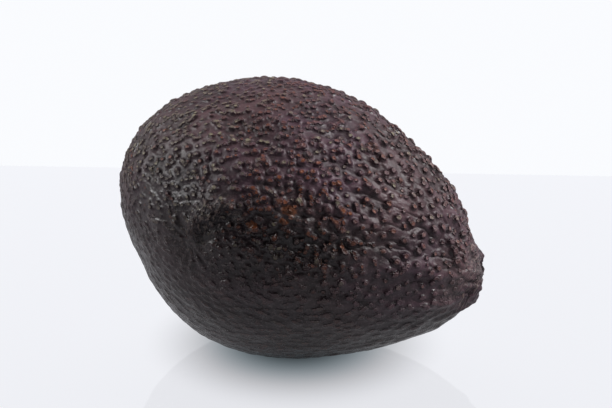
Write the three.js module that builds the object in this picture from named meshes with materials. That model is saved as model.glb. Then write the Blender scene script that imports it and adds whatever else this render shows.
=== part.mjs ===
// A whole ripe avocado of the dark, pebble-skinned kind, lying on its side, and the stub of its stalk.
// Millimetres, +Z up. +X runs towards the stalk end. The origin is on the surface that the fruit
// lies on, plumb below its weight, in the middle of the small flat spot that it rests on.

import * as THREE from "three";
import { ConvexHull } from "three/addons/math/ConvexHull.js";

// The fruit's body: an egg round the X axis, fuller towards the blossom end, sagging a little to one side
const LENGTH = 98;
const GIRTH_RADIUS = 34.7;
const TAPER = [-0.205, -0.175, 0.155]; // first, second and third power along the axis
const SAG = { y: -1.5, z: 1.25 }; // how far the middle stands off the straight line between the ends
const STALK_END_DROOP = THREE.MathUtils.degToRad(13); // the stalk end hangs this much lower at rest

// Broad swells and flats that keep the egg from being a turned shape: where they are, and how high
const SWELL_WIDTH = 0.42; // radians
const SWELLS = [
  { towards: [0.93, 0.15, 0.32], height: -3.0 }, // hollow flank above the stalk end
  { towards: [0.71, 0.3, 0.64], height: 0.4 },
  { towards: [0.15, 0.0, 0.98], height: 0.7 },
  { towards: [-0.45, 0.0, 0.89], height: -0.7 },
  { towards: [-0.81, 0.1, 0.58], height: 1.6 }, // full shoulder over the blossom end
  { towards: [-0.98, -0.16, 0.0], height: -1.3 }, // blunt blossom end
  { towards: [-0.78, -0.4, -0.48], height: -2.2 }, // flat below it
  { towards: [0.1, 0.85, -0.5], height: 0.7 },
  { towards: [0.6, 0.75, -0.1], height: -0.8 },
];

// The pebbles: each is a low pyramid that covers its own cell of the skin
const PEBBLES = 1800;
const PEBBLE_HEIGHT = 1.2;
const SMALLEST_PEBBLE = 0.5; // share of that height
const HOLLOW_DEPTH = 0.4; // of the skin between the pebbles
const SCATTER = 0.3; // of the distance between pebbles
const CROWDING = 0.88; // evens out the pebbles' spacing along the fruit, which is longer than it is wide
const SEED = 20263;
const GOLDEN_ANGLE = Math.PI * (3 - Math.sqrt(5));

// The pebbles are boldest on the upper flank towards the stalk. Elsewhere they have a share of that height.
const BOLDEST_FLANK = [0.5, -0.35, 0.75];
const FLANK_EDGE = 0.1; // cosine of the angle from its middle at which the bold flank has faded out
const UNDERSIDE_FULL = 0.8; // how steeply a direction points down where the underside is reached
const BOLDNESS = { offFlank: 0.72, underneath: 0.55, atScar: 0.3, scarRadius: 9 };

// The scar that the flower's style left, low on the front, with a pinched hollow round it
const SCAR = { towards: [-0.454, -0.889, 0.04], hollow: 0.9, hollowRadius: 4.5, nub: 0.7, nubRadius: 1.1 };
const SCAR_RINGS = [0.028, 0.062]; // radians from its middle, where the mesh has extra points
const SCAR_RING_SPACING = 0.04; // radians, along a ring

// The stalk end: a lobed collar round the recess that holds the stub of the stalk. The collar's heights
// and the recess's depths are measured along the stalk, which stands square to the skin there.
const COLLAR = { height: 0.9, radius: 6.2, width: 2.2, lobes: 7, lobeShare: 0.2, sideShare: 0.6 };
const RECESS = { floor: 3.0, floorRadius: 4.25, mouthRadius: 5.1 };
const STALK_RINGS = [2.4, 4.2, 4.7, 5.2, 5.9, 6.7, 7.7, 9.0, 10.8]; // radii with extra points in the mesh
const STALK_RING_SPACING = 0.065; // radians, along a ring
const RING_MARGIN = 0.03; // radians that the pebbles' tips keep clear of the rings at both scars
const PEBBLES_FROM = 7; // this far from the stalk's middle the pebbles start
const PEBBLES_FULL = 12;

// The stub of the stalk: a corky button that stays in the recess
const STUB = { radius: 3.65, height: 2.2, clearance: 0.35, lobes: 5, lobeShare: 0.05, sides: 30 };
const STUB_PROFILE = [
  // shares of its radius and its height, from the middle of its seat round to the middle of its end
  [0, 0],
  [0.8, 0],
  [0.96, 0.2],
  [1, 0.55],
  [0.95, 0.85],
  [0.8, 1],
  [0.55, 0.93],
  [0.34, 0.8],
  [0.22, 0.84],
  [0, 0.92],
];

// The flat spot
const FLAT_DEPTH = 0.55; // how much the fruit has settled
const SMOOTH_WITHIN = THREE.MathUtils.degToRad(12); // of straight down, the skin is pressed smooth
const ROUGH_BEYOND = THREE.MathUtils.degToRad(20);

const FINE_STEP = 1e-3; // radians between neighbouring directions where a slope or a reach is measured

// A repeatable draw of numbers from 0 to 1
function drawFrom(seed) {
  let state = seed;
  return () => {
    state = (state * 1664525 + 1013904223) % 4294967296;
    return state / 4294967296;
  };
}

const unit = (xyz) => new THREE.Vector3(...xyz).normalize();
const bell = (distance, width) => Math.exp(-((distance / width) ** 2));
const swells = SWELLS.map(({ towards, height }) => ({ towards: unit(towards), height }));
const boldestFlank = unit(BOLDEST_FLANK);

// The smooth body's point in a direction from its middle, with the axis along X
function bodyPoint(direction) {
  const along = direction.x;
  const taper = TAPER.reduce((sum, share, power) => sum + share * along ** (power + 1), 1);
  const bulge = 1 - along * along;
  const point = new THREE.Vector3(
    (along * LENGTH) / 2,
    GIRTH_RADIUS * direction.y * taper + SAG.y * bulge,
    GIRTH_RADIUS * direction.z * taper + SAG.z * bulge,
  );
  for (const { towards, height } of swells) {
    point.addScaledVector(direction, height * bell(direction.angleTo(towards), SWELL_WIDTH));
  }
  return point;
}

// Two directions square to the given one
function tangents(direction) {
  const helper = Math.abs(direction.z) < 0.9 ? new THREE.Vector3(0, 0, 1) : new THREE.Vector3(0, 1, 0);
  const first = new THREE.Vector3().crossVectors(helper, direction).normalize();
  return [first, new THREE.Vector3().crossVectors(direction, first)];
}

// A direction turned away from the given one by an angle, on the side that the heading gives
function turned(direction, angle, heading) {
  const [first, second] = tangents(direction);
  return direction
    .clone()
    .multiplyScalar(Math.cos(angle))
    .addScaledVector(first, Math.sin(angle) * Math.cos(heading))
    .addScaledVector(second, Math.sin(angle) * Math.sin(heading))
    .normalize();
}

function bodyNormal(direction) {
  const here = bodyPoint(direction);
  const [first, second] = [0, Math.PI / 2].map((heading) =>
    bodyPoint(turned(direction, FINE_STEP, heading)).sub(here),
  );
  return first.cross(second).normalize();
}

const down = new THREE.Vector3(Math.sin(STALK_END_DROOP), 0, -Math.cos(STALK_END_DROOP));
const stalkDirection = new THREE.Vector3(1, 0, 0);
const stalkPoint = bodyPoint(stalkDirection);
const stalkAxis = bodyNormal(stalkDirection);
const scarDirection = unit(SCAR.towards);
const scarPoint = bodyPoint(scarDirection);

// How much of the relief is left where the fruit's own weight presses the skin smooth
const pressedSmooth = (normal) => THREE.MathUtils.smoothstep(normal.angleTo(down), SMOOTH_WITHIN, ROUGH_BEYOND);

// The share of the pebbles' full height that they have in a direction
function boldness(direction) {
  const { lerp, smoothstep } = THREE.MathUtils;
  const upperFlank = smoothstep(direction.dot(boldestFlank), FLANK_EDGE, 1);
  const underside = smoothstep(-direction.z, 0, UNDERSIDE_FULL);
  const nearScar = bell(bodyPoint(direction).distanceTo(scarPoint), BOLDNESS.scarRadius);
  return (
    lerp(BOLDNESS.offFlank, 1, upperFlank) *
    lerp(1, BOLDNESS.underneath, underside) *
    lerp(1, BOLDNESS.atScar, nearScar)
  );
}

// How far a point of the stalk's half is from the line of the stalk, and how far out along it
function fromStalk(point) {
  const offset = point.clone().sub(stalkPoint);
  const out = offset.dot(stalkAxis);
  const turn = Math.atan2(offset.z, offset.y);
  const radius = offset.addScaledVector(stalkAxis, -out).length();
  return { out, turn, radius: point.x > 0 ? radius : Infinity };
}

// A point of the skin, where the pebbles rise by a height over the smooth body or fall below it
function skinPoint(direction, pebbleRise) {
  const point = bodyPoint(direction);
  const normal = bodyNormal(direction);
  const toScar = point.distanceTo(scarPoint);
  const scar = SCAR.nub * bell(toScar, SCAR.nubRadius) - SCAR.hollow * bell(toScar, SCAR.hollowRadius);
  const { turn, radius } = fromStalk(point);
  const lobe = 1 + COLLAR.lobeShare * Math.cos(COLLAR.lobes * turn) + COLLAR.sideShare * Math.cos(2 * turn);
  const collar = COLLAR.height * lobe * bell(radius - COLLAR.radius, COLLAR.width);
  const clearOfStalk = THREE.MathUtils.smoothstep(radius, PEBBLES_FROM, PEBBLES_FULL);
  const pebble = pebbleRise * boldness(direction) * clearOfStalk;
  point.addScaledVector(normal, (scar + collar + pebble) * pressedSmooth(normal));

  const inRecess = 1 - THREE.MathUtils.smoothstep(radius, RECESS.floorRadius, RECESS.mouthRadius);
  return point.addScaledVector(stalkAxis, -inRecess * (RECESS.floor + fromStalk(point).out));
}

// Directions of the pebbles' tips, spread evenly on a golden spiral and then scattered a little
function pebbleTips() {
  const draw = drawFrom(SEED);
  const spacing = Math.sqrt((4 * Math.PI) / PEBBLES);
  const tips = [];
  for (let i = 0; i < PEBBLES; i++) {
    const even = -1 + (2 * i + 1) / PEBBLES;
    const along = even * (CROWDING + (1 - CROWDING) * even * even);
    const across = Math.sqrt(1 - along * along);
    const turn = i * GOLDEN_ANGLE;
    const place = new THREE.Vector3(along, across * Math.cos(turn), across * Math.sin(turn));
    const direction = turned(place, spacing * SCATTER * draw(), 2 * Math.PI * draw());
    const share = THREE.MathUtils.lerp(SMALLEST_PEBBLE, 1, draw());
    tips.push({ direction, height: PEBBLE_HEIGHT * share });
  }
  return tips;
}

// Rings of points round a direction, staggered, that carry the fine shapes at the two scars
function ringTips(centre, angles, spacing) {
  const tips = [{ direction: centre.clone(), height: 0 }];
  angles.forEach((angle, ring) => {
    const count = Math.max(6, Math.round((2 * Math.PI * angle) / spacing));
    for (let i = 0; i < count; i++) {
      const heading = (2 * Math.PI * (i + (ring % 2) / 2)) / count;
      tips.push({ direction: turned(centre, angle, heading), height: 0 });
    }
  });
  return tips;
}

// The angle off the stalk's direction at which the body is this far from the line of the stalk
function angleAtRadius(radius) {
  let angle = 0;
  while (fromStalk(bodyPoint(turned(stalkDirection, angle, 0))).radius < radius) angle += FINE_STEP;
  return angle;
}

// The skin: every pebble is a fan of triangles from its tip to the ring of hollows round it. The hollows
// are the middles of the triangles that join neighbouring tips, found as the hull of their directions.
function fruitGeometry() {
  const stalkAngles = STALK_RINGS.map(angleAtRadius);
  const stalkReach = stalkAngles.at(-1) + RING_MARGIN;
  const scarReach = SCAR_RINGS.at(-1) + RING_MARGIN;
  const tips = [
    ...pebbleTips().filter(
      ({ direction }) =>
        direction.angleTo(stalkDirection) > stalkReach && direction.angleTo(scarDirection) > scarReach,
    ),
    ...ringTips(stalkDirection, stalkAngles, STALK_RING_SPACING),
    ...ringTips(scarDirection, SCAR_RINGS, SCAR_RING_SPACING),
  ];
  const tipOf = new Map(tips.map((tip) => [tip.direction, tip]));
  const hull = new ConvexHull().setFromPoints(tips.map(({ direction }) => direction));

  const positions = [];
  const indexOf = new Map();
  const vertex = (key, direction, height) => {
    if (!indexOf.has(key)) {
      indexOf.set(key, positions.length / 3);
      positions.push(...skinPoint(direction, height).toArray());
    }
    return indexOf.get(key);
  };
  const hollow = (face) => {
    const corners = [face.getEdge(0), face.getEdge(1), face.getEdge(2)].map((edge) => edge.head().point);
    const middle = corners.reduce((sum, corner) => sum.add(corner), new THREE.Vector3()).normalize();
    const betweenPebbles = corners.some((corner) => tipOf.get(corner).height > 0);
    return vertex(face, middle, betweenPebbles ? -HOLLOW_DEPTH : 0);
  };
  const triangles = [];
  for (const face of hull.faces) {
    for (const edge of [face.getEdge(0), face.getEdge(1), face.getEdge(2)]) {
      const tip = tipOf.get(edge.tail().point);
      triangles.push(vertex(tip, tip.direction, tip.height), hollow(edge.twin.face), hollow(face));
    }
  }
  return new THREE.BufferGeometry()
    .setAttribute("position", new THREE.Float32BufferAttribute(positions, 3))
    .setIndex(triangles);
}

// The centre of a closed mesh's volume
function volumeCentre(geometry) {
  const position = geometry.getAttribute("position");
  const centre = new THREE.Vector3();
  const [a, b, c] = [new THREE.Vector3(), new THREE.Vector3(), new THREE.Vector3()];
  let total = 0;
  for (let i = 0; i < geometry.index.count; i += 3) {
    [a, b, c].forEach((corner, k) => corner.fromBufferAttribute(position, geometry.index.getX(i + k)));
    const sixth = a.dot(new THREE.Vector3().crossVectors(b, c));
    total += sixth;
    centre.addScaledVector(a.clone().add(b).add(c), sixth / 4);
  }
  return centre.divideScalar(total);
}

// Lays the fruit down: the stalk end droops, the weight is over the origin and the low side is pressed flat
function restingPlace(geometry) {
  const laid = geometry.clone().rotateY(STALK_END_DROOP);
  const centre = volumeCentre(laid);
  laid.computeBoundingBox();
  return new THREE.Vector3(-centre.x, -centre.y, -laid.boundingBox.min.z - FLAT_DEPTH);
}

function layDown(geometry, place) {
  geometry.rotateY(STALK_END_DROOP).translate(place.x, place.y, place.z);
  const position = geometry.getAttribute("position");
  for (let i = 0; i < position.count; i++) position.setZ(i, Math.max(position.getZ(i), 0));
  return geometry;
}

// The stub: a low lobed disc of corky wood with a dished end and a small raised middle
function stubGeometry() {
  const { radius, height, lobes, lobeShare, sides } = STUB;
  const outline = STUB_PROFILE.map(([across, up]) => new THREE.Vector2(across * radius, up * height));
  const geometry = new THREE.LatheGeometry(outline, sides);
  const position = geometry.getAttribute("position");
  for (let i = 0; i < position.count; i++) {
    const turn = Math.atan2(position.getZ(i), position.getX(i));
    const lobe = 1 - lobeShare * (1 + Math.cos(lobes * turn)) / 2;
    position.setX(i, position.getX(i) * lobe);
    position.setZ(i, position.getZ(i) * lobe);
  }
  const seat = stalkPoint.clone().addScaledVector(stalkAxis, STUB.clearance - RECESS.floor);
  const stand = new THREE.Quaternion().setFromUnitVectors(new THREE.Vector3(0, 1, 0), stalkAxis);
  return geometry.applyQuaternion(stand).translate(seat.x, seat.y, seat.z);
}

const skin = new THREE.MeshStandardMaterial({ color: 0x2e2528, roughness: 0.42, metalness: 0 });
const cork = new THREE.MeshStandardMaterial({ color: 0x6a4b33, roughness: 0.9, metalness: 0 });

const fruitShape = fruitGeometry();
const place = restingPlace(fruitShape);
const fruit = new THREE.Mesh(layDown(fruitShape, place), skin);
fruit.name = "fruit";

const stub = new THREE.Mesh(stubGeometry(), cork);
stub.name = "stalk_stub";
stub.position.copy(place);
stub.rotation.y = STALK_END_DROOP;

const avocado = new THREE.Group();
avocado.add(fruit, stub);

export default avocado;
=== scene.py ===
import math

import bpy
import numpy as np
from mathutils import Euler, Matrix, Vector, noise
from mathutils.kdtree import KDTree


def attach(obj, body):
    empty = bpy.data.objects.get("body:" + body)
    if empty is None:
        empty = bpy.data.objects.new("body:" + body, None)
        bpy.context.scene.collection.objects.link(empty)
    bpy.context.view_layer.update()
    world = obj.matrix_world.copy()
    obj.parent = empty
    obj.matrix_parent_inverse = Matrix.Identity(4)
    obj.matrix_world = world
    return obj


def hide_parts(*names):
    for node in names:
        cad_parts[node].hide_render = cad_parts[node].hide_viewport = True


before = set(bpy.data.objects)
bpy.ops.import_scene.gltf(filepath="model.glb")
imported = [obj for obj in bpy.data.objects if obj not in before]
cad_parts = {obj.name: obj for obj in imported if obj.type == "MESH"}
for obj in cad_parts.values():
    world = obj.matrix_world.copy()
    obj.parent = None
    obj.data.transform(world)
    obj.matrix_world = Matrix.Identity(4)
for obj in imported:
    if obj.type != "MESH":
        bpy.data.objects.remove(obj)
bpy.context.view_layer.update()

# The fruit: one grown piece, firm flesh in a thick, purple-black skin with a thin wax of its own.
# The skin is raised in pebbles, each with a corky tip. The fruit lies on its side, where its weight
# has pressed a small flat, and its stalk end hangs a little lower.
MM = 0.001

LENGTH = 98
GIRTH_RADIUS = 34.7
TAPER = (-0.205, -0.175, 0.155)  # first, second and third power along the axis
SAG = (0, -1.5, 1.25)  # of the middle, against both ends
STALK_END_DROOP = math.radians(13)
FLAT_DEPTH = 0.55
SMOOTH_WITHIN = math.radians(12)  # of straight down, the skin is pressed smooth
ROUGH_BEYOND = math.radians(20)

# Broad swells and hollows of the body: the way to the middle of each, and its height
SWELL_WIDTH = 0.42
SWELLS = (
    ((0.93, 0.15, 0.32), -3.0),  # hollow flank above the stalk end
    ((0.71, 0.3, 0.64), 0.4),
    ((0.15, 0.0, 0.98), 0.7),
    ((-0.45, 0.0, 0.89), -0.7),
    ((-0.81, 0.1, 0.58), 1.6),  # full shoulder over the blossom end
    ((-0.98, -0.16, 0.0), -1.3),  # blunt blossom end
    ((-0.78, -0.4, -0.48), -2.2),  # flat below it
    ((0.1, 0.85, -0.5), 0.7),
    ((0.6, 0.75, -0.1), -0.8),
)


def unit(vectors):
    vectors = np.asarray(vectors, float)
    return vectors / np.linalg.norm(vectors, axis=-1, keepdims=True)


def bell(distance, width):
    return np.exp(-((distance / width) ** 2))


def smooth_step(value, low, high):
    share = np.clip((value - low) / (high - low), 0, 1)
    return share * share * (3 - 2 * share)


def angles_between(directions, towards):
    return np.arccos(np.clip(directions @ unit(towards), -1, 1))


def body_points(directions):
    """The smooth body's points, in mm, with the fruit's axis along X."""
    along = directions[:, :1]
    taper = 1 + sum(share * along ** (power + 1) for power, share in enumerate(TAPER))
    points = directions * taper * GIRTH_RADIUS + (1 - along**2) * np.array(SAG)
    points[:, 0] = directions[:, 0] * LENGTH / 2
    for towards, height in SWELLS:
        swell = height * bell(angles_between(directions, towards), SWELL_WIDTH)
        points += directions * swell[:, None]
    return points


def tangents(directions):
    """Two ways along the ball's surface, at right angles to each other, from each direction."""
    steep = np.abs(directions[:, 2:]) >= 0.9
    helper = np.where(steep, (0.0, 1.0, 0.0), (0.0, 0.0, 1.0))
    first = unit(np.cross(helper, directions))
    return first, np.cross(directions, first)


def body_normals(directions):
    step = 1e-3
    here = body_points(directions)
    first, second = (body_points(unit(directions + step * side)) - here for side in tangents(directions))
    return unit(np.cross(first, second))


# The seeded rule that the pebbles grow by: a golden spiral over the body, scattered a little
PEBBLES = 1800
PEBBLE_SEED = 20263
SCATTER = 0.3  # of their spacing
CROWDING = 0.88  # evens out their spacing along the fruit, which is longer than it is wide
SMALLEST_PEBBLE = 0.5  # of the full height
GOLDEN_ANGLE = math.pi * (3 - math.sqrt(5))


def draw_from(seed):
    state = seed
    while True:
        state = (state * 1664525 + 1013904223) % 4294967296
        yield state / 4294967296


def spiral_tips(count, seed):
    """Directions of the tips, each with a share of the full height."""
    draw = draw_from(seed)
    spacing = math.sqrt(4 * math.pi / count)
    places, bends, shares = [], [], []
    for i in range(count):
        even = -1 + (2 * i + 1) / count
        along = even * (CROWDING + (1 - CROWDING) * even * even)
        across = math.sqrt(1 - along * along)
        turn = i * GOLDEN_ANGLE
        places.append((along, across * math.cos(turn), across * math.sin(turn)))
        bends.append((spacing * SCATTER * next(draw), 2 * math.pi * next(draw)))
        shares.append(SMALLEST_PEBBLE + (1 - SMALLEST_PEBBLE) * next(draw))
    places = np.array(places)
    angle, heading = np.array(bends).T[:, :, None]
    first, second = tangents(places)
    sideways = first * np.cos(heading) + second * np.sin(heading)
    return unit(places * np.cos(angle) + sideways * np.sin(angle)), np.array(shares)


def fine_noise(points, cell, offset):
    """Smooth noise of about -1 to 1 whose lumps are about a cell wide."""
    scaled = points / cell + offset
    return np.array([noise.noise(Vector(place)) for place in scaled])


STALK_DIRECTION = np.array([[1.0, 0.0, 0.0]])
stalk_point = body_points(STALK_DIRECTION)[0]
stalk_axis = body_normals(STALK_DIRECTION)[0]
SCAR_TOWARDS = unit((-0.454, -0.889, 0.04))
scar_point = body_points(SCAR_TOWARDS[None])[0]


def stalk_measures(points):
    """Each point's distance out along the stalk, its distance from the stalk's line, its turn round it."""
    offsets = points - stalk_point
    out = offsets @ stalk_axis
    radius = np.linalg.norm(offsets - out[:, None] * stalk_axis, axis=1)
    radius[points[:, 0] < 0] = np.inf
    return out, radius, np.arctan2(offsets[:, 2], offsets[:, 1])


# The pebbles start this far from the stalk's line, and farther below it, and are full at the second distance
PEBBLES_FROM, PEBBLES_FULL = 8, 16
FARTHER_BELOW = 5


def clearance(radius, turn):
    """How far the pebbles are grown, from 0 round the stalk to 1 well clear of it."""
    return smooth_step(radius - FARTHER_BELOW * (1 - np.sin(turn)) / 2, PEBBLES_FROM, PEBBLES_FULL)


# The pebbles are boldest on the upper flank, lower on the far side and underneath, and lowest round the scar
UPPER_FLANK_TOWARDS = unit((0.55, -0.55, 0.6))
PLAIN_BOLDNESS, MORE_ON_FLANK = 0.85, 0.3
LESS_FAR_SIDE, LESS_UNDERNEATH, LESS_BY_SCAR = 0.4, 0.75, 0.85
SCAR_REACH = 13


def boldness(directions, points):
    upper_flank = smooth_step(directions @ UPPER_FLANK_TOWARDS, 0.1, 1)
    underside = smooth_step(-directions[:, 2], -0.4, 0.5)
    far_side = smooth_step(directions[:, 1] - 0.6 * directions[:, 0], 0, 0.6)
    near_scar = bell(np.linalg.norm(points - scar_point, axis=1), SCAR_REACH)
    bold = PLAIN_BOLDNESS + MORE_ON_FLANK * upper_flank
    bold = bold * (1 - LESS_FAR_SIDE * far_side) * (1 - LESS_UNDERNEATH * underside)
    return bold * (1 - LESS_BY_SCAR * near_scar)


# The bare cage of the skin: a cube cut fine and blown up to a ball, its cells closest on the bold flank
CELLS = 128  # along each side of the cube
CLOSER = 0.3  # how far the ball's points are drawn towards that flank
BOLD_TOWARDS = unit((0.35, -0.75, 0.55))

bpy.ops.object.select_all(action="DESELECT")
bpy.ops.mesh.primitive_cube_add(size=2)
fruit = bpy.context.object
fruit.name = fruit.data.name = "fruit_skin"
bpy.ops.object.mode_set(mode="EDIT")
bpy.ops.mesh.select_all(action="SELECT")
# One subdivide makes 100 cuts at most, so a second one halves every cell
bpy.ops.mesh.subdivide(number_cuts=CELLS // 2 - 1)
bpy.ops.mesh.subdivide(number_cuts=1)
bpy.ops.object.mode_set(mode="OBJECT")

cube_places = np.empty(len(fruit.data.vertices) * 3)
fruit.data.vertices.foreach_get("co", cube_places)
directions = unit(np.tan(cube_places.reshape(-1, 3) * math.pi / 4))
directions = unit(directions + CLOSER * BOLD_TOWARDS)
smooth_points = body_points(directions)
normals = body_normals(directions)
out, stalk_radius, stalk_turn = stalk_measures(smooth_points)

# Pebbles: large ones by the rule, and small ones that fill in between them. Towards the blossom end all
# are higher, and the large ones narrower. Towards the stalk end there are fewer small ones.
LARGE_HEIGHT, LARGE_RADIUS = 1.0, 1.2
SMALL_HEIGHT, SMALL_RADIUS = 0.62, 0.88
LEAST_RADIUS, RADIUS_GAIN = 0.25, 0.8  # a pebble's radius grows with its share of the height
HIGHER_AT_BLOSSOM, NARROWER_AT_BLOSSOM = 0.3, 0.3
SMALL_PEBBLES = 4600
SMALL_SEED = 77
FEWER_SMALL = 0.7  # the share that is left out at the stalk end
CLOSEST = 1.1  # a small pebble keeps this far from a large one
CORK_SHARE = 0.58  # of a pebble's radius is its corky tip

large_directions, large_shares = spiral_tips(PEBBLES, PEBBLE_SEED)
small_directions, small_shares = spiral_tips(SMALL_PEBBLES, SMALL_SEED)
large_places = body_points(large_directions)
large_tree = KDTree(PEBBLES)
for i, place in enumerate(large_places):
    large_tree.insert(place, i)
large_tree.balance()
small_places = body_points(small_directions)
clear = np.array([large_tree.find(place)[2] > CLOSEST for place in small_places])
fewer = FEWER_SMALL * smooth_step(small_directions[:, 0], 0, 0.6)
draw = draw_from(SMALL_SEED)
clear &= np.array([next(draw) for _ in small_places]) >= fewer

tip_directions = np.concatenate([large_directions, small_directions[clear]])
tip_places = np.concatenate([large_places, small_places[clear]])
tip_shares = np.concatenate([large_shares, small_shares[clear]])
is_large = np.arange(len(tip_places)) < PEBBLES
tip_normals = body_normals(tip_directions)
tip_clearance = clearance(*stalk_measures(tip_places)[1:])
tip_boldness = boldness(tip_directions, tip_places) * tip_clearance
tip_heights = np.where(is_large, LARGE_HEIGHT, SMALL_HEIGHT) * tip_shares * tip_boldness
blossom_half = smooth_step(-tip_directions[:, 0], -0.1, 0.7)
tip_heights *= 1 + HIGHER_AT_BLOSSOM * blossom_half
tip_widths = np.where(is_large, LARGE_RADIUS, SMALL_RADIUS) * (LEAST_RADIUS + RADIUS_GAIN * tip_shares)
tip_widths *= np.where(is_large, 1 - NARROWER_AT_BLOSSOM * blossom_half, 1)
cork_radii = CORK_SHARE * tip_widths

# The pebbles are a little longer than wide and lie roughly along the fruit. Towards the blossom end and
# underneath they are longer, and lie nearer to its length.
LIE_SEED = SMALL_SEED + 2
WIDEST_SWING = 1.6  # radians, from one side to the other
LONGEST, LONGER_AT_BLOSSOM, LONGER_UNDERNEATH = 0.4, 0.2, 0.6

underneath = smooth_step(-tip_directions[:, 2], -0.1, 0.5)
lie_draw = draw_from(LIE_SEED)
swing = np.array([next(lie_draw) - 0.5 for _ in tip_places]) * WIDEST_SWING
swing = swing * (1 - 0.5 * blossom_half) * (1 - underneath)
stretch = 1 + np.array([LONGEST * next(lie_draw) for _ in tip_places])
stretch = stretch + LONGER_AT_BLOSSOM * blossom_half + LONGER_UNDERNEATH * underneath
length_ways = unit(np.array([1.0, 0, 0]) - tip_normals * tip_normals[:, :1])
side_ways = np.cross(tip_normals, length_ways)
tip_along = length_ways * np.cos(swing)[:, None] + side_ways * np.sin(swing)[:, None]
tip_across = np.cross(tip_normals, tip_along)

# Each pebble is raised on the cage, and each point keeps its place on the tip that is nearest to it
MERGE = 3  # how sharply neighbours keep apart
DOME = 0.85  # 1 is a parabola, and less is fuller
FAR_OFF = 9.0  # for a point that is on no pebble

vertex_tree = KDTree(len(smooth_points))
for i, place in enumerate(smooth_points):
    vertex_tree.insert(place, i)
vertex_tree.balance()

pebble_power = np.zeros(len(smooth_points))
nearest = np.full(len(smooth_points), FAR_OFF)
tip_place = np.full((len(smooth_points), 3), FAR_OFF)
tip_number = np.zeros(len(smooth_points), int)
for i, place in enumerate(tip_places):
    length, width = tip_widths[i] * stretch[i], tip_widths[i]
    found = np.array([index for _, index, _ in vertex_tree.find_range(place, length)])
    if not len(found):
        continue
    offsets = smooth_points[found] - place
    along, across = offsets @ tip_along[i], offsets @ tip_across[i]
    share = np.clip(1 - (along / length) ** 2 - (across / width) ** 2, 0, 1) ** DOME
    pebble_power[found] += (tip_heights[i] * share) ** MERGE
    distance = np.hypot(along / stretch[i], across)
    closer = distance < nearest[found]
    hit = found[closer]
    nearest[hit] = distance[closer]
    tip_place[hit] = np.column_stack([along / stretch[i], across, distance])[closer] / cork_radii[i]
    tip_number[hit] = i
pebble_rise = pebble_power ** (1 / MERGE)

# Broad welts under the pebbles, drawn out from end to end and drawn together towards the stalk. Finer
# ones and furrows fold the stalk half.
WELT_LIE = 0.4
DRAWN_TOGETHER = 0.35  # with 1, all of them would run into the stalk
BROAD_WELTS, FINE_WELTS, FINE_WELTS_FOLDED = 0.8, 0.12, 0.33
FURROW_DEPTH, FURROW_WIDTH = 0.3, 0.09
BETWEEN = -0.12  # how the skin lies between pebbles

from_end = np.arccos(np.clip(directions[:, :1], -1, 1))
gathered = DRAWN_TOGETHER * smooth_step(directions[:, :1], -0.9, -0.4)
ring = unit(directions[:, 1:]) * GIRTH_RADIUS * (gathered + (1 - gathered) * np.sin(from_end))
grown = np.hstack([from_end * LENGTH / 2 * WELT_LIE, ring])
folded = smooth_step(directions[:, 0], -0.35, 0.25)
fine_welts = (FINE_WELTS + FINE_WELTS_FOLDED * folded) * fine_noise(grown, 3, 8.7)
welts = BROAD_WELTS * fine_noise(grown, 6.5, 3.1) + fine_welts
bold_here = boldness(directions, smooth_points)
clear_of_stalk = clearance(stalk_radius, stalk_turn)
furrows = bell(fine_noise(grown, 4.2, 12.3), FURROW_WIDTH)
welts = welts * (0.3 + 0.7 * bold_here) - FURROW_DEPTH * furrows * folded * bold_here**2
relief = (BETWEEN + pebble_rise) * clear_of_stalk + welts

# The scar of the flower's style: a small nub in a pinched hollow with wrinkles running into it
NUB_HEIGHT, NUB_WIDTH = 0.5, 0.9
HOLLOW_DEPTH, HOLLOW_WIDTH = 0.8, 4
WRINKLES, WRINKLE_HEIGHT = 13, 0.15
WRINKLED_AT, WRINKLED_WIDTH = 5, 3.5  # from the nub

to_scar = smooth_points - scar_point
from_scar = np.linalg.norm(to_scar, axis=1)
scar_side = np.cross(SCAR_TOWARDS, (0, 0, 1))
scar_up = np.cross(scar_side, SCAR_TOWARDS)
scar_turn = np.arctan2(to_scar @ scar_up, to_scar @ scar_side)
wrinkle_sway = fine_noise(smooth_points, 4, 1.7)
wrinkles = np.cos(WRINKLES * scar_turn + 2.2 * wrinkle_sway) * bell(from_scar - WRINKLED_AT, WRINKLED_WIDTH)
nub_in_hollow = NUB_HEIGHT * bell(from_scar, NUB_WIDTH) - HOLLOW_DEPTH * bell(from_scar, HOLLOW_WIDTH)
relief += nub_in_hollow + WRINKLE_HEIGHT * wrinkles

# A pleated crest that runs from the scar up towards the middle of the flank, with a groove along its foot
CREST_HEIGHT, CREST_WIDTH, CREST_LENGTH, CREST_BOW = 1.25, 1.8, 17, 3.7
CREST_LEAN = math.radians(34)  # from upright
PLEAT_HEIGHT = 0.75
GROOVE_DEPTH, GROOVE_OFF, GROOVE_WIDTH = 0.45, 4.2, 2.2

crest_way = scar_up * math.cos(CREST_LEAN) - scar_side * math.sin(CREST_LEAN)
crest_side = np.cross(crest_way, SCAR_TOWARDS)
up_crest = to_scar @ crest_way
bow = CREST_BOW * np.clip(1 - (2 * up_crest / CREST_LENGTH - 1) ** 2, 0, 1)
off_crest = to_scar @ crest_side + bow + 0.8 * wrinkle_sway
on_crest = smooth_step(up_crest, 0.3, 2.5) * (1 - smooth_step(up_crest, 0.75 * CREST_LENGTH, CREST_LENGTH))
pleat_way = np.column_stack([off_crest + 0.4 * up_crest, up_crest / 2.2, 0.3 * from_scar])
pleats = fine_noise(pleat_way, 0.85, 4.4) * bell(off_crest - 0.7 * CREST_WIDTH, 1.5 * CREST_WIDTH)
groove = GROOVE_DEPTH * bell(off_crest - GROOVE_OFF, GROOVE_WIDTH)
relief += (CREST_HEIGHT * bell(off_crest, CREST_WIDTH) + PLEAT_HEIGHT * pleats - groove) * on_crest

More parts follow.
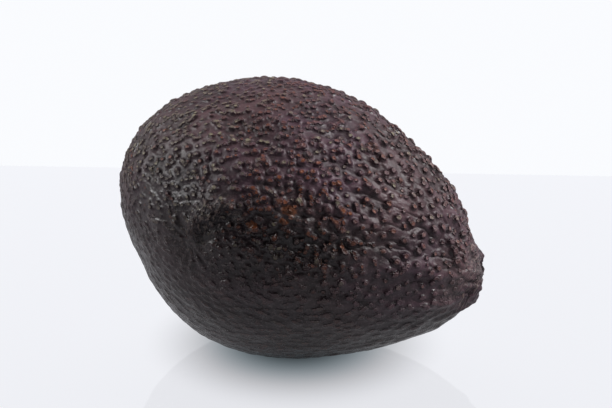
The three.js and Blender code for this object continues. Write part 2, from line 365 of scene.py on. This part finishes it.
# The collar round the stalk's recess: lobed, ringed on its face, and folded where it joins the body
COLLAR_HEIGHT, COLLAR_RADIUS, COLLAR_WIDTH = 1.1, 6.0, 2.7
COLLAR_LOBES, LOBE_SHARE, SIDE_SHARE = 7, 0.1, 0.6  # it is highest at its two sides
RECESS_FLOOR, FLOOR_RADIUS, MOUTH_RADIUS = 3.0, 4.25, 5.1
FOLD_HEIGHT, RING_HEIGHT = 0.6, 0.45
RINGS_LOWER = 3.5  # the rings lie round a spot this far below the stalk
RING_SWAY = 1.4
WORN_TOWARDS = (0.96, -0.1, -0.26)  # where its lower edge is rounded off
WORN_DEPTH, WORN_WIDTH = 1.3, 0.18

near_stalk = np.where(np.isfinite(stalk_radius), stalk_radius, 1e3)
lobe = 1 + LOBE_SHARE * np.cos(COLLAR_LOBES * stalk_turn) + SIDE_SHARE * np.cos(2 * stalk_turn)
rim_way = COLLAR_RADIUS * np.column_stack([0.03 * out, np.cos(stalk_turn), np.sin(stalk_turn)])
folds = 0.9 * fine_noise(rim_way, 1.3, 5.3) + 0.7 * fine_noise(rim_way, 0.6, 7.9)
folds *= smooth_step(near_stalk, 6, 9) * (1 - smooth_step(near_stalk, 12, 20))
ring_radius = near_stalk - RINGS_LOWER * (1 - np.sin(stalk_turn))
ring_way = np.column_stack([ring_radius, RING_SWAY * np.cos(stalk_turn), RING_SWAY * np.sin(stalk_turn)])
rings = fine_noise(ring_way, 1, 6.6)
rings *= smooth_step(near_stalk, 4.5, 5.5) * (1 - smooth_step(near_stalk, 8, 12))
relief += FOLD_HEIGHT * folds + RING_HEIGHT * rings
fine_relief = relief.copy()  # what the finish reads, which leaves out the collar's own broad rise
worn_below = WORN_DEPTH * bell(angles_between(directions, WORN_TOWARDS), WORN_WIDTH)
relief += COLLAR_HEIGHT * lobe * bell(near_stalk - COLLAR_RADIUS, COLLAR_WIDTH) - worn_below

# Underneath the skin is pressed smooth, and round the stalk it is sunk to the recess's flat floor
down = np.array([math.sin(STALK_END_DROOP), 0, -math.cos(STALK_END_DROOP)])
relief *= smooth_step(angles_between(normals, down), SMOOTH_WITHIN, ROUGH_BEYOND)
skin_points = smooth_points + normals * relief[:, None]
in_recess = 1 - smooth_step(near_stalk, FLOOR_RADIUS, MOUTH_RADIUS)
sunk = RECESS_FLOOR + stalk_measures(skin_points)[0]
skin_points -= stalk_axis * (in_recess * sunk)[:, None]

# It is laid down with the stalk end drooping and its weight over the frame's origin
lay_down = np.array(Matrix.Rotation(STALK_END_DROOP, 3, "Y"))
laid = skin_points @ lay_down.T
corners = np.empty(len(fruit.data.polygons) * 4, int)
fruit.data.polygons.foreach_get("vertices", corners)
quads = laid[corners.reshape(-1, 4)]
halves = np.concatenate([quads[:, [0, 1, 2]], quads[:, [0, 2, 3]]])
wedges = np.einsum("ij,ij->i", halves[:, 0], np.cross(halves[:, 1], halves[:, 2]))
weight_centre = (halves.sum(1) * wedges[:, None]).sum(0) / wedges.sum() / 4
to_origin = np.array([-weight_centre[0], -weight_centre[1], -laid[:, 2].min() - FLAT_DEPTH])
laid += to_origin
laid[:, 2] = np.maximum(laid[:, 2], 0)
fruit.data.vertices.foreach_set("co", (laid * MM).ravel())
bpy.ops.object.shade_smooth()

# Painted shade: the front is darkened in one long patch, and painted light makes the skin paler above
PAINTED_SHADE_TOWARDS = unit((-0.08, -0.95, 0.27))
PAINTED_SHADE_SIZE = 0.52
PATCH_LIE = np.array([0.68, 1, 1.6])


def painted_shade_patch(directions):
    return bell(np.linalg.norm((directions - PAINTED_SHADE_TOWARDS) * PATCH_LIE, axis=1), PAINTED_SHADE_SIZE)


# A tip is rusty, or straw-coloured as most are at the blossom end, and its rim is pale cork that also
# carries a painted highlight, most so at the stalk end. All three fade underneath, rust and straw round the
# scar, and rust and the pale rim in the patch of painted shade.
COLOUR_SEED = SMALL_SEED + 1
RUSTIEST_TOWARDS = (0.1, -0.8, 0.5)
FEWEST_STRAW, MORE_STRAW = 0.12, 0.75
PLAIN_ROUND_SCAR = 15

upper = smooth_step(tip_directions[:, 2], -0.1, 0.4)
top = smooth_step(tip_directions[:, 2], 0.5, 0.9)
rustiest = bell(angles_between(tip_directions, RUSTIEST_TOWARDS), 0.5)
straw_side = smooth_step(-tip_directions[:, 0], 0.1, 0.65)
stalk_side = smooth_step(tip_directions[:, 0], 0.2, 0.6)
in_painted_shade = painted_shade_patch(tip_directions)
off_scar = 1 - 0.75 * bell(np.linalg.norm(tip_places - scar_point, axis=1), PLAIN_ROUND_SCAR)
shown = tip_clearance * off_scar
tip_draw = draw_from(COLOUR_SEED)
chance, strength, rim_strength = np.array([[next(tip_draw) for _ in range(3)] for _ in tip_places]).T
is_straw = chance < FEWEST_STRAW + MORE_STRAW * straw_side
tip_rust = ~is_straw * (0.1 + 0.9 * strength**1.5) * (1 - 0.45 * top) * (1 + 0.8 * rustiest)
tip_rust = tip_rust * (0.12 + 0.88 * upper) * (1 - 0.45 * stalk_side) * (1 - 0.6 * in_painted_shade) * shown
tip_straw = is_straw * (0.25 + 0.75 * strength**2) * (0.1 + 0.9 * upper) * shown
tip_pale_and_highlight = (0.2 + 0.8 * rim_strength**2) * (0.1 + 0.9 * upper)
tip_pale_and_highlight = tip_pale_and_highlight * (0.12 + 0.88 * stalk_side) * (1 - 0.8 * in_painted_shade)


def keep(piece, name, kind, values):
    kept = piece.data.attributes.new(name, kind, "POINT")
    kept.data.foreach_set("vector" if kind == "FLOAT_VECTOR" else "value", np.ravel(values))


# What the finish reads of each point: its place on the nearest tip, in that tip's radii, and that tip's
# colours, then how the skin rises and folds there
STALK_END = 20  # within this of the stalk the folds run round it, and elsewhere along the crest

keep(fruit, "tip_place", "FLOAT_VECTOR", tip_place)
keep(fruit, "tip_size", "FLOAT", cork_radii[tip_number])
keep(fruit, "tip_rust", "FLOAT", tip_rust[tip_number])
keep(fruit, "tip_straw", "FLOAT", tip_straw[tip_number])
keep(fruit, "tip_pale_and_highlight", "FLOAT", tip_pale_and_highlight[tip_number])
keep(fruit, "rise", "FLOAT", fine_relief)
keep(fruit, "bold", "FLOAT", bold_here * clear_of_stalk)
keep(fruit, "fold_way", "FLOAT_VECTOR", np.where(near_stalk[:, None] < STALK_END, ring_way, pleat_way) * MM)
ringed = smooth_step(near_stalk, 4.5, 5.5) * (1 - smooth_step(near_stalk, 8, 16))
creased = 1.4 * on_crest * bell(off_crest - 0.7 * CREST_WIDTH, 1.6 * CREST_WIDTH)
keep(fruit, "fine_folds", "FLOAT", ringed + creased)

# Painted light and shade on the skin: painted light most on the side that faces up and a little to the stalk
# and the front, more round the blossom end than elsewhere at the side, less round the stalk, and painted
# shade underneath, in the patch of painted shade and on the crest
PAINTED_LIGHT_TOWARDS = (0.45, -0.25, 1)
MOST_PAINTED_LIGHT = 1.35

painted_light_above = smooth_step(normals @ PAINTED_LIGHT_TOWARDS, 0, 0.92)
painted_light_above *= 1 - 0.15 * smooth_step(normals[:, 2], 0.8, 1)
painted_shade = np.maximum(painted_shade_patch(directions), 0.3 * on_crest * bell(off_crest, 4 * CREST_WIDTH))
blossom_end = smooth_step(-normals[:, 0], 0.6, 0.95) * smooth_step(normals[:, 2], -0.3, 0.2)
painted_side_light_and_shade = 0.47 - 0.32 * smooth_step(-normals[:, 2], 0.1, 0.7) + 0.4 * blossom_end
painted_light_share = np.clip(painted_light_above * (1 - 0.8 * painted_shade) + painted_side_light_and_shade * (1 - painted_shade), 0, MOST_PAINTED_LIGHT)
keep(fruit, "painted_light_share", "FLOAT", painted_light_share * (1 - 0.2 * bell(near_stalk, 10)))

# Three rusty scabs where the skin was once chafed: the way to each, and its radius
SCABS = (
    ((-0.012, -0.884, 0.467), 1.6),
    ((-0.164, -0.935, 0.313), 1.1),
    ((-0.023, -0.920, 0.391), 1.0),
)
SCAB_LIE = (0.75, 1, 1.15)
SCAB_MIDDLE = 1.5

scabs = np.zeros(len(smooth_points))
for scab_towards, radius in SCABS:
    off_centre = smooth_points - body_points(unit(scab_towards)[None])[0]
    scabs = np.maximum(scabs, SCAB_MIDDLE - np.linalg.norm(off_centre * SCAB_LIE, axis=1) / radius)
keep(fruit, "scabs", "FLOAT", np.clip(scabs, 0, SCAB_MIDDLE))

# The skin's finish: dark aubergine to green-black, waxy, with corky tips on the pebbles
AUBERGINE = (0.0365, 0.0178, 0.026, 1)
BROWN_BLACK = (0.0375, 0.019, 0.022, 1)
GREEN_BLACK = (0.026, 0.018, 0.020, 1)
RUST = (0.17, 0.048, 0.018, 1)
STRAW = (0.19, 0.165, 0.11, 1)
# The pale cork of the rims also carries a painted highlight
PALE_CORK_AND_HIGHLIGHT = (0.3, 0.21, 0.2, 1)
SKIN_FLECK = (0.085, 0.06, 0.062, 1)
# Painted shade at the pebbles' feet and in the troughs of fine folds, then painted highlight on the folds'
# ridges
PAINTED_SHADE_COLOUR = (0.012, 0.007, 0.009, 1)
PAINTED_RIDGE_HIGHLIGHT = (0.2, 0.15, 0.13, 1)
SCAB_RUST = (0.09, 0.026, 0.008, 1)
STREAK_HEIGHT, GRAIN_HEIGHT, FLECK_HEIGHT = 0.12, 0.05, 0.03
TIP_EDGE_HEIGHT = 0.9  # of the tip's radius
SHEEN = 0.28


def new_material(name):
    material = bpy.data.materials.new(name)
    material.use_nodes = True
    return material, material.node_tree.nodes, material.node_tree.links


skin, nodes, links = new_material("avocado_skin")
shader = nodes["Principled BSDF"]


# From here on, these functions build in whichever nodes and links were named last
def add(kind, **settings):
    node = nodes.new(kind)
    for name, value in settings.items():
        setattr(node, name, value)
    return node


def attribute(name, output):
    return add("ShaderNodeAttribute", attribute_name=name).outputs[output]


def maths(operation, *values):
    node = add("ShaderNodeMath", operation=operation)
    for socket, value in zip(node.inputs, values):
        if isinstance(value, (int, float)):
            socket.default_value = value
        else:
            links.new(value, socket)
    return node.outputs[0]


def product(result, *factors):
    for factor in factors:
        result = maths("MULTIPLY", result, factor)
    return result


def total(result, *parts):
    for part in parts:
        result = maths("ADD", result, part)
    return result


def ranged(value, low, high, to_low, to_high):
    """Eases from to_low to to_high while the value goes from low to high."""
    node = add("ShaderNodeMapRange", interpolation_type="SMOOTHSTEP")
    links.new(value, node.inputs["Value"])
    for name, number in zip(("From Min", "From Max", "To Min", "To Max"), (low, high, to_low, to_high)):
        node.inputs[name].default_value = number
    return node.outputs["Result"]


def blend(share, first, second):
    """Mixes two colours, through those of the Mix node's sockets that are for colours."""
    node = add("ShaderNodeMix", data_type="RGBA")
    links.new(share, node.inputs["Factor"])
    for socket, colour in ((node.inputs[6], first), (node.inputs[7], second)):
        if isinstance(colour, tuple):
            socket.default_value = colour
        else:
            links.new(colour, socket)
    return node.outputs[2]


def mapped(vector, **settings):
    node = add("ShaderNodeMapping")
    for name, value in settings.items():
        node.inputs[name].default_value = value
    links.new(vector, node.inputs["Vector"])
    return node.outputs["Vector"]


def texture_noise(vector, scale, detail, roughness=0.55):
    """Noise of 0 to 1 with about this many lumps to the metre."""
    node = add("ShaderNodeTexNoise")
    links.new(vector, node.inputs["Vector"])
    node.inputs["Scale"].default_value = scale
    node.inputs["Detail"].default_value = detail
    node.inputs["Roughness"].default_value = roughness
    return node.outputs["Fac"]


along_fruit = mapped(add("ShaderNodeTexCoord").outputs["Object"], Rotation=(0, -STALK_END_DROOP, 0))
drawn_out = mapped(along_fruit, Scale=(0.35, 1, 1))
patches = texture_noise(along_fruit, 45, 4)
mottle = texture_noise(along_fruit, 260, 5, 0.6)
grain = texture_noise(along_fruit, 1500, 3)
streaks = texture_noise(drawn_out, 1050, 4, 0.5)
flecks = texture_noise(along_fruit, 2300, 2)
ragged = maths("SUBTRACT", texture_noise(along_fruit, 1300, 3), 0.5)

# Halfway between two tips the place turns from one to the other and would draw a false tip there, but the
# distance stays long, and so it masks that
split = add("ShaderNodeSeparateXYZ")
links.new(attribute("tip_place", "Vector"), split.inputs[0])
along_tip, across_tip, distance_from_tip = split.outputs
from_tip = maths("SQRT", total(maths("POWER", along_tip, 2), maths("POWER", across_tip, 2)))
uneven = total(from_tip, product(ragged, 1.3))
within = ranged(distance_from_tip, 2.1, 1.6, 0, 1)
tip_mask = product(ranged(uneven, 0.95, 0.45, 0, 1), within)

base = blend(ranged(patches, 0.38, 0.62, 0, 1), AUBERGINE, BROWN_BLACK)
base = blend(ranged(mottle, 0.52, 0.7, 0, 0.8), base, GREEN_BLACK)
shaded = add("ShaderNodeHueSaturation")
links.new(base, shaded.inputs["Color"])
# The skin's value carries painted light and shade: paler where painted light is kept, darker where painted
# shade is
painted_light = attribute("painted_light_share", "Fac")
# Painted shade in the hollows, and a little painted light on the rises
painted_hollow_shade = ranged(attribute("rise", "Fac"), -0.35, 0.35, 0.6, 1.15)
links.new(product(ranged(painted_light, 0, MOST_PAINTED_LIGHT, 0.22, 1.7), painted_hollow_shade), shaded.inputs["Value"])
base = shaded.outputs["Color"]
base = blend(ranged(flecks, 0.52, 0.68, 0, 0.5), base, SKIN_FLECK)
# Painted shade: a dark ring round each pebble's foot
painted_foot_shade = product(ranged(uneven, 1.9, 1.45, 0, 1), ranged(uneven, 1.0, 1.3, 0, 0.65), within)
base = blend(painted_foot_shade, base, PAINTED_SHADE_COLOUR)

# The tips' own colours, with a pale cork rim that also carries a painted highlight, then the scabs, and
# painted shade and painted highlight on the two sides of folds
coloured = blend(product(tip_mask, attribute("tip_rust", "Fac")), base, RUST)
coloured = blend(product(tip_mask, attribute("tip_straw", "Fac")), coloured, STRAW)
# The pale rim is partly the cork's own colour and partly painted highlight
rim = product(ranged(uneven, 1.25, 0.95, 0, 1), within, ranged(uneven, 0.45, 0.85, 0.25, 1))
rim_pale_and_highlight = product(rim, ranged(flecks, 0.42, 0.6, 0, 1), attribute("tip_pale_and_highlight", "Fac"))
coloured = blend(rim_pale_and_highlight, coloured, PALE_CORK_AND_HIGHLIGHT)
chafed = ranged(total(attribute("scabs", "Fac"), product(ragged, 1.2)), 0.45, 0.8, 0, 1)
coloured = blend(product(chafed, ranged(flecks, 0.3, 0.6, 0.45, 1)), coloured, SCAB_RUST)
fine_folds = attribute("fine_folds", "Fac")
ridges = texture_noise(attribute("fold_way", "Vector"), 1700, 3, 0.5)
# Painted shade in the folds' troughs and painted highlight on their ridges
coloured = blend(product(ranged(ridges, 0.48, 0.36, 0, 0.7), fine_folds), coloured, PAINTED_SHADE_COLOUR)
coloured = blend(product(ranged(ridges, 0.52, 0.66, 0, 0.42), fine_folds), coloured, PAINTED_RIDGE_HIGHLIGHT)
links.new(coloured, shader.inputs["Base Color"])

# The wax is glossiest in a ring round each tip and where painted shade darkens the skin
polished = product(ranged(distance_from_tip, 0.7, 1.1, 0, 1), ranged(distance_from_tip, 2.0, 1.4, 0, 0.13))
matt = product(ranged(mottle, 0.3, 0.7, 0.44, 0.6), ranged(painted_light, 0, 0.6, 0.62, 1))
links.new(maths("SUBTRACT", matt, polished), shader.inputs["Roughness"])
shader.inputs["Specular IOR Level"].default_value = SHEEN

# Each tip is a crisp scab with a raised edge and a dished middle, and between them the skin is crinkled
bold = attribute("bold", "Fac")
edge = maths("SUBTRACT", ranged(uneven, 1.3, 0.8, 0, 1), ranged(uneven, 0.8, 0.1, 0, 0.4))
tip_bump = product(edge, attribute("tip_size", "Fac"), within, TIP_EDGE_HEIGHT, bold)
creases = maths("SUBTRACT", texture_noise(drawn_out, 600, 2, 0.5), 0.5)
fine_bump = total(
    product(streaks, STREAK_HEIGHT),
    product(grain, GRAIN_HEIGHT),
    product(flecks, FLECK_HEIGHT),
    product(creases, ranged(bold, 0.1, 0.9, 0.1, 0.4)),
    product(ridges, fine_folds),
)


def raise_bumps(height):
    bump = add("ShaderNodeBump")
    bump.inputs["Distance"].default_value = MM
    links.new(height, bump.inputs["Height"])
    links.new(bump.outputs["Normal"], shader.inputs["Normal"])


raise_bumps(total(tip_bump, fine_bump))

fruit.data.materials.append(skin)
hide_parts("fruit")
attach(fruit, "root")

# The stub of the stalk: a dry, corky button left in the recess, cracked from its middle outwards. The real
# one is still grown on at its foot. This one keeps a thin gap to the recess's floor and wall.
STUB_RADIUS, STUB_HEIGHT, STUB_CLEARANCE = 3.65, 2.2, 0.35
STUB_LOBES, STUB_LOBE_SHARE = 5, 0.05
SQUARENESS = 0.4  # 1 is a ball, and a small number a disc with sharp edges
CRACKS, CRACK_SHARPNESS, CRACK_DEPTH = 7, 7, 0.28
BOSS_HEIGHT, BOSS_WIDTH = 0.22, 0.25  # in the middle of the dish, the widths as shares of the radius
DISH_DEPTH, DISH_WIDTH = 0.5, 0.6
CRUMB_HEIGHT = 0.1

bpy.ops.object.select_all(action="DESELECT")
bpy.ops.mesh.primitive_uv_sphere_add(segments=144, ring_count=72, radius=1)
stub = bpy.context.object
stub.name = stub.data.name = "stalk_stub_cork"
ball = np.empty(len(stub.data.vertices) * 3)
stub.data.vertices.foreach_get("co", ball)
ball = ball.reshape(-1, 3)
across = np.hypot(ball[:, 0], ball[:, 1]) ** SQUARENESS
turn = np.arctan2(ball[:, 1], ball[:, 0])
up = (1 + np.sign(ball[:, 2]) * np.abs(ball[:, 2]) ** SQUARENESS) / 2
reach = across * STUB_RADIUS * (1 - STUB_LOBE_SHARE * (1 + np.cos(STUB_LOBES * turn)) / 2)
cork = np.column_stack([reach * np.cos(turn), reach * np.sin(turn), up * STUB_HEIGHT])
crumbs = 0.5 * fine_noise(cork, 0.8, 2.2) + 0.5 * fine_noise(cork, 0.35, 6.1)
crack = np.abs(np.cos(CRACKS / 2 * turn + 1.2 * fine_noise(cork, 1.6, 9.4))) ** CRACK_SHARPNESS
crack_depth = CRACK_DEPTH * crack * smooth_step(across, 0.2, 0.5) * (0.5 + 0.5 * fine_noise(cork, 2.5, 0.6))
on_end = smooth_step(up, 0.55, 0.95)
boss_in_dish = BOSS_HEIGHT * bell(across, BOSS_WIDTH) - DISH_DEPTH * bell(across, DISH_WIDTH)
cork[:, 2] += on_end * (boss_in_dish - crack_depth + CRUMB_HEIGHT * crumbs)
cork[:, :2] *= (1 + (1 - on_end) * (0.02 * crumbs - 0.03 * crack))[:, None]
seat = stalk_point + stalk_axis * (STUB_CLEARANCE - RECESS_FLOOR)
stand = np.array(Vector(stalk_axis).to_track_quat("Z", "Y").to_matrix())
cork_places = (cork @ stand.T + seat) @ lay_down.T + to_origin
stub.data.vertices.foreach_set("co", (cork_places * MM).ravel())
bpy.ops.object.shade_smooth()
keep(stub, "crack", "FLOAT", on_end * crack_depth / CRACK_DEPTH)

# Its finish: dry brown cork, mottled and darker in the cracks
CORK_LIGHT = (0.14, 0.085, 0.05, 1)
CORK_DARK = (0.035, 0.018, 0.011, 1)
CORK_ROUGHNESS = 0.85
CRUMBLE_HEIGHT, CORK_FLECK_HEIGHT = 0.15, 0.05

cork_material, nodes, links = new_material("stalk_cork")
shader = nodes["Principled BSDF"]
coordinates = add("ShaderNodeTexCoord").outputs["Object"]
crumble = texture_noise(coordinates, 1400, 6, 0.65)
fleck = texture_noise(coordinates, 4200, 3)
brown = blend(ranged(crumble, 0.35, 0.65, 0, 1), CORK_DARK, CORK_LIGHT)
brown = blend(product(attribute("crack", "Fac"), 0.85), brown, CORK_DARK)
links.new(brown, shader.inputs["Base Color"])
shader.inputs["Roughness"].default_value = CORK_ROUGHNESS
raise_bumps(total(product(crumble, CRUMBLE_HEIGHT), product(fleck, CORK_FLECK_HEIGHT)))

stub.data.materials.append(cork_material)
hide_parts("stalk_stub")
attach(stub, "root")

# The table: a glossy white top whose back edge is a hand's width behind the fruit. It glows a little of
# itself as painted light, and the glow fades to a painted shadow, tinted blue, round where the fruit rests.
TABLE_BACK = 0.1265
CAMERA_AZIMUTH = math.radians(10.82)
TABLE_TURN = math.radians(2.8)  # its back edge, against the picture's own
TABLE_WIDTH = 4
TABLE_WHITE = (0.3, 0.306, 0.32, 1)
TABLE_ROUGHNESS = 0.03
# The glow is painted light; the shaded colour, centre and radii below make its painted shadow
PAINTED_GLOW_COLOUR = (0.933, 0.944, 0.99, 1)
PAINTED_SHADOW_COLOUR = (0.72, 0.9, 1, 1)
PAINTED_GLOW = 0.82
ON_THE_FRUIT = 0.9  # of the glow that the eye sees
PAINTED_SHADOW_CENTRE = (0.0015, 0.001, 0)
PAINTED_SHADOW_WITHIN, PAINTED_GLOW_BEYOND = 0.004, 0.041

table, nodes, links = new_material("white_table")
shader = nodes["Principled BSDF"]
shader.inputs["Base Color"].default_value = TABLE_WHITE
shader.inputs["Roughness"].default_value = TABLE_ROUGHNESS
# Painted shadow: the glow fades and turns blue near where the fruit rests
from_fruit = add("ShaderNodeVectorMath", operation="DISTANCE")
links.new(add("ShaderNodeTexCoord").outputs["Object"], from_fruit.inputs[0])
from_fruit.inputs[1].default_value = PAINTED_SHADOW_CENTRE
painted_glow_share = ranged(from_fruit.outputs["Value"], PAINTED_SHADOW_WITHIN, PAINTED_GLOW_BEYOND, 0, 1)
links.new(blend(ranged(painted_glow_share, 0, 0.7, 0, 1), PAINTED_SHADOW_COLOUR, PAINTED_GLOW_COLOUR), shader.inputs["Emission Color"])
seen = add("ShaderNodeLightPath").outputs["Is Camera Ray"]
strength = product(painted_glow_share, ranged(seen, 0, 1, ON_THE_FRUIT * PAINTED_GLOW, PAINTED_GLOW))
links.new(strength, shader.inputs["Emission Strength"])

bpy.ops.object.select_all(action="DESELECT")
bpy.ops.mesh.primitive_plane_add(size=TABLE_WIDTH, location=(0, TABLE_BACK - TABLE_WIDTH / 2, 0))
floor = bpy.context.object
floor.name = "table_top"
bpy.ops.object.transform_apply(location=True, rotation=False, scale=False)
floor.rotation_euler = (0, 0, CAMERA_AZIMUTH - TABLE_TURN)
floor.data.materials.append(table)

# The backdrop and the room: a white wall that is bright to the eye and in what the fruit and table mirror
# of it, in a dim room that lights the fruit only a little
BACKDROP = (0.955, 0.968, 0.995, 1)
ROOM = (0.03, 0.03, 0.033, 1)
BACKWARD = (-math.sin(CAMERA_AZIMUTH), math.cos(CAMERA_AZIMUTH), 0)
MIRRORED = 0.65  # of the backdrop's brightness

world = bpy.data.worlds.new("studio")
bpy.context.scene.world = world
world.use_nodes = True
nodes, links = world.node_tree.nodes, world.node_tree.links
facing = add("ShaderNodeVectorMath", operation="DOT_PRODUCT")
links.new(add("ShaderNodeTexCoord").outputs["Generated"], facing.inputs[0])
facing.inputs[1].default_value = BACKWARD
seen = add("ShaderNodeLightPath").outputs["Is Camera Ray"]
shows = maths("MAXIMUM", seen, ranged(facing.outputs["Value"], 0.3, 0.85, 0, MIRRORED))
links.new(blend(shows, ROOM, BACKDROP), nodes["Background"].inputs["Color"])

# The softboxes: a bright one at either side and a weak one high behind, each with its azimuth (0 is in
# front), elevation, size and power. They light the fruit and its stub alone, or the table would mirror them.
SOFTBOX_DISTANCE = 2.4
SOFTBOXES = (
    (-90, 30, 0.8, 54.0),
    (103, 42, 0.8, 88.0),
    (180, 70, 1.2, 3.5),
)


def way_to(azimuth, elevation):
    level = math.cos(elevation)
    return Vector((math.sin(azimuth) * level, -math.cos(azimuth) * level, math.sin(elevation)))


lit_pieces = bpy.data.collections.new("lit_by_softboxes")
for piece in (fruit, stub):
    lit_pieces.objects.link(piece)
for azimuth, elevation, size, power in SOFTBOXES:
    spot = way_to(math.radians(azimuth), math.radians(elevation))
    bpy.ops.object.light_add(type="AREA", location=spot * SOFTBOX_DISTANCE)
    softbox = bpy.context.object
    softbox.rotation_euler = spot.to_track_quat("Z", "Y").to_euler()
    softbox.data.size = size
    softbox.data.energy = power
    softbox.light_linking.receiver_collection = lit_pieces

# The camera stands where the photograph was taken from. It looks at a spot over the middle of the fruit,
# and is then turned a little right and up.
CAMERA_ELEVATION = math.radians(22.33)
CAMERA_DISTANCE = 0.48
AIM_HEIGHT = 0.032
TURNED_RIGHT = math.radians(0.495)
TURNED_UP = math.radians(0.725)
SENSOR_WIDTH, FOCAL_LENGTH = 36, 110.85

away = way_to(CAMERA_AZIMUTH, CAMERA_ELEVATION)
bpy.ops.object.camera_add(location=Vector((0, 0, AIM_HEIGHT)) + away * CAMERA_DISTANCE)
camera = bpy.context.object
aim = Euler((math.pi / 2 - CAMERA_ELEVATION, 0, CAMERA_AZIMUTH)).to_matrix()
aim = aim @ Matrix.Rotation(-TURNED_RIGHT, 3, "Y") @ Matrix.Rotation(TURNED_UP, 3, "X")
camera.rotation_euler = aim.to_euler()
camera.data.sensor_width = SENSOR_WIDTH
camera.data.lens = FOCAL_LENGTH
camera.data.clip_start = 0.01
bpy.context.scene.camera = camera
bpy.context.scene.view_settings.view_transform = "Standard"
